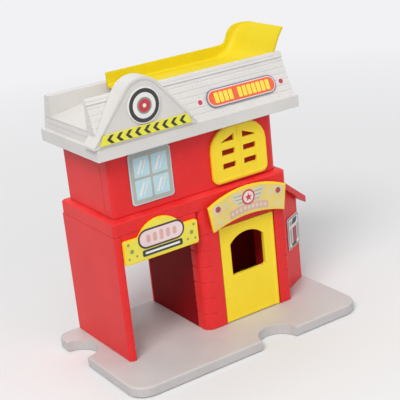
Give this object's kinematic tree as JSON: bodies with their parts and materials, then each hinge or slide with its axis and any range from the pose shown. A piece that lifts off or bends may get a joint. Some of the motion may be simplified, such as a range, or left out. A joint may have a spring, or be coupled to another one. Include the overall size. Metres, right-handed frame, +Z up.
{
  "type": "toy fire station",
  "caption": "Two-storey toy fire station on a base plate, with an open garage, a hinged front door, a lean-to wing and a tipping rooftop launch deck with a scoop end.",
  "frame": {"origin": "middle of the underside of the base plate's bounding box, on the surface the toy stands on", "axes": "+X from the garage side towards the door and wing side, +Y from the front towards the back, +Z up"},
  "size_m": [0.237, 0.138, 0.2496],
  "materials": {
    "red": "moulded, semi-gloss",
    "dark_red": "moulded, semi-gloss",
    "yellow": "moulded, semi-gloss",
    "light_grey": "moulded, semi-gloss",
    "plate_grey": "moulded, satin",
    "label_orange": "printed label",
    "label_yellow": "printed label",
    "label_white": "printed label",
    "label_blue": "printed label",
    "steel": "zinc plated"
  },
  "bodies": {
    "station": {"base_plate": "plate_grey", "left_wall": "red", "front_wall": "red", "right_wall": "red", "back_wall": "red", "garage_partition": "dark_red", "wing_roof": "red", "belt_course": "red", "upper_front_wall": "red", "upper_left_wall": "red", "upper_right_wall": "red", "upper_back_wall": "red", "window_insert": "yellow", "roof_shell": "light_grey", "gable": "light_grey", "door_sign": "yellow", "garage_sign": "yellow", "pill_sign": "label_orange", "hazard_strip": "label_yellow", "gable_emblem": "label_white", "pane_label": "label_blue", "alarm_label": "label_white", "base_screw_1": "steel", "roof_screw_1": "steel", "base_screw_2": "steel", "roof_screw_2": "steel", "base_screw_3": "steel", "roof_screw_3": "steel", "base_screw_4": "steel", "roof_screw_4": "steel"},
    "door": {"door": "yellow"},
    "deck": {"launch_deck": "yellow"}
  },
  "joints": [
    {"name": "door_hinge", "type": "hinge", "parent": "station", "child": "door", "pos_m": [0.0562, -0.0204, 0.053], "axis": [0, 0, 1], "range_deg": [0, 100]},
    {"name": "deck_tilt", "type": "hinge", "parent": "station", "child": "deck", "pos_m": [-0.04, 0.02135, 0.21975], "axis": [0, -1, 0], "range_deg": [0, 18]}
  ]
}
